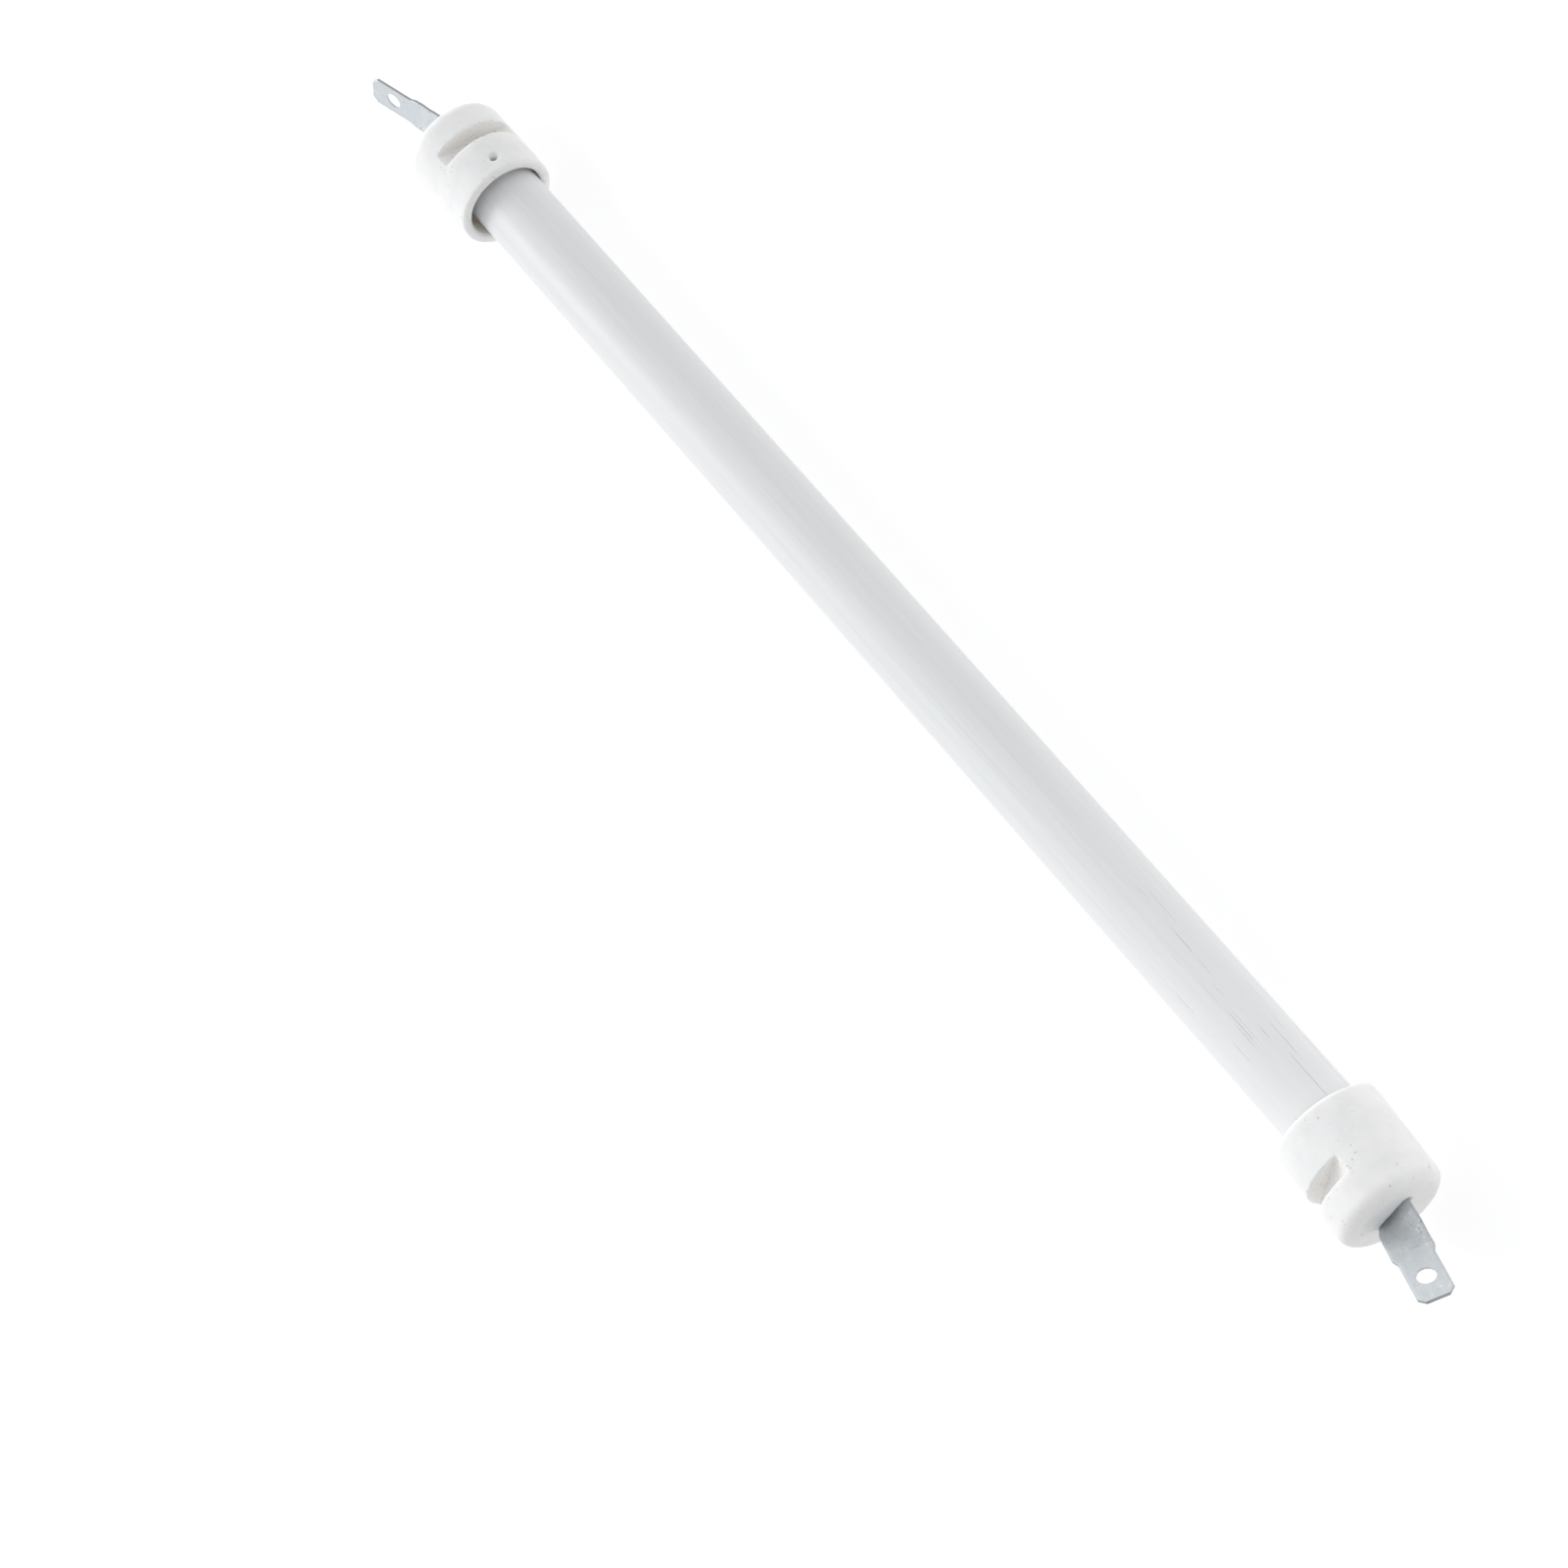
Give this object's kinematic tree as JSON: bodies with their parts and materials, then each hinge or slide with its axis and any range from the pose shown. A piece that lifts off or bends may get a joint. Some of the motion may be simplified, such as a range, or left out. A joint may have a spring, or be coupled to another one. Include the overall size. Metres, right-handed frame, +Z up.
{
  "type": "quartz heating tube",
  "caption": "Milky quartz infrared heating tube with a coil inside, a loose slotted ceramic cap on each end and a twisted blade terminal with a tab through each cap.",
  "frame": {"origin": "on the right cap's axis, midway between the outer faces of the two ceramic caps", "axes": "+X along the right cap's axis, towards the right end, whose cap has the vent; +Z up, with the tube lying at the bottom of its sockets"},
  "size_m": [0.2761, 0.0175, 0.0189],
  "materials": {
    "milky_quartz": "satin milk-white quartz glass with fine lengthwise drawing lines",
    "steatite": "unglazed matte off-white with small dark pits",
    "plated_steel": "bluish-grey plated strip, slightly mottled, with sheared edges",
    "nickel_pin": "drawn nickel wire, dull",
    "resistance_wire": "oxidised grey iron-chromium-aluminium wire"
  },
  "bodies": {
    "tube": {"quartz_tube": "milky_quartz", "heating_coil": "resistance_wire"},
    "left_end": {"left_ceramic_cap": "steatite", "left_blade_terminal": "plated_steel", "left_lead_pin": "nickel_pin"},
    "right_end": {"right_ceramic_cap": "steatite", "right_blade_terminal": "plated_steel", "right_lead_pin": "nickel_pin"}
  },
  "joints": [
    {"name": "left_cap_swivel", "type": "hinge", "parent": "tube", "child": "left_end", "pos_m": [-0.1078, 0, -0.0003], "axis": [0.9965, -0.0245, -0.08], "range_deg": [-90, 90]},
    {"name": "right_cap_swivel", "type": "hinge", "parent": "tube", "child": "right_end", "pos_m": [0.1078, 0, 0], "axis": [1, 0, 0], "range_deg": [-90, 90]}
  ]
}
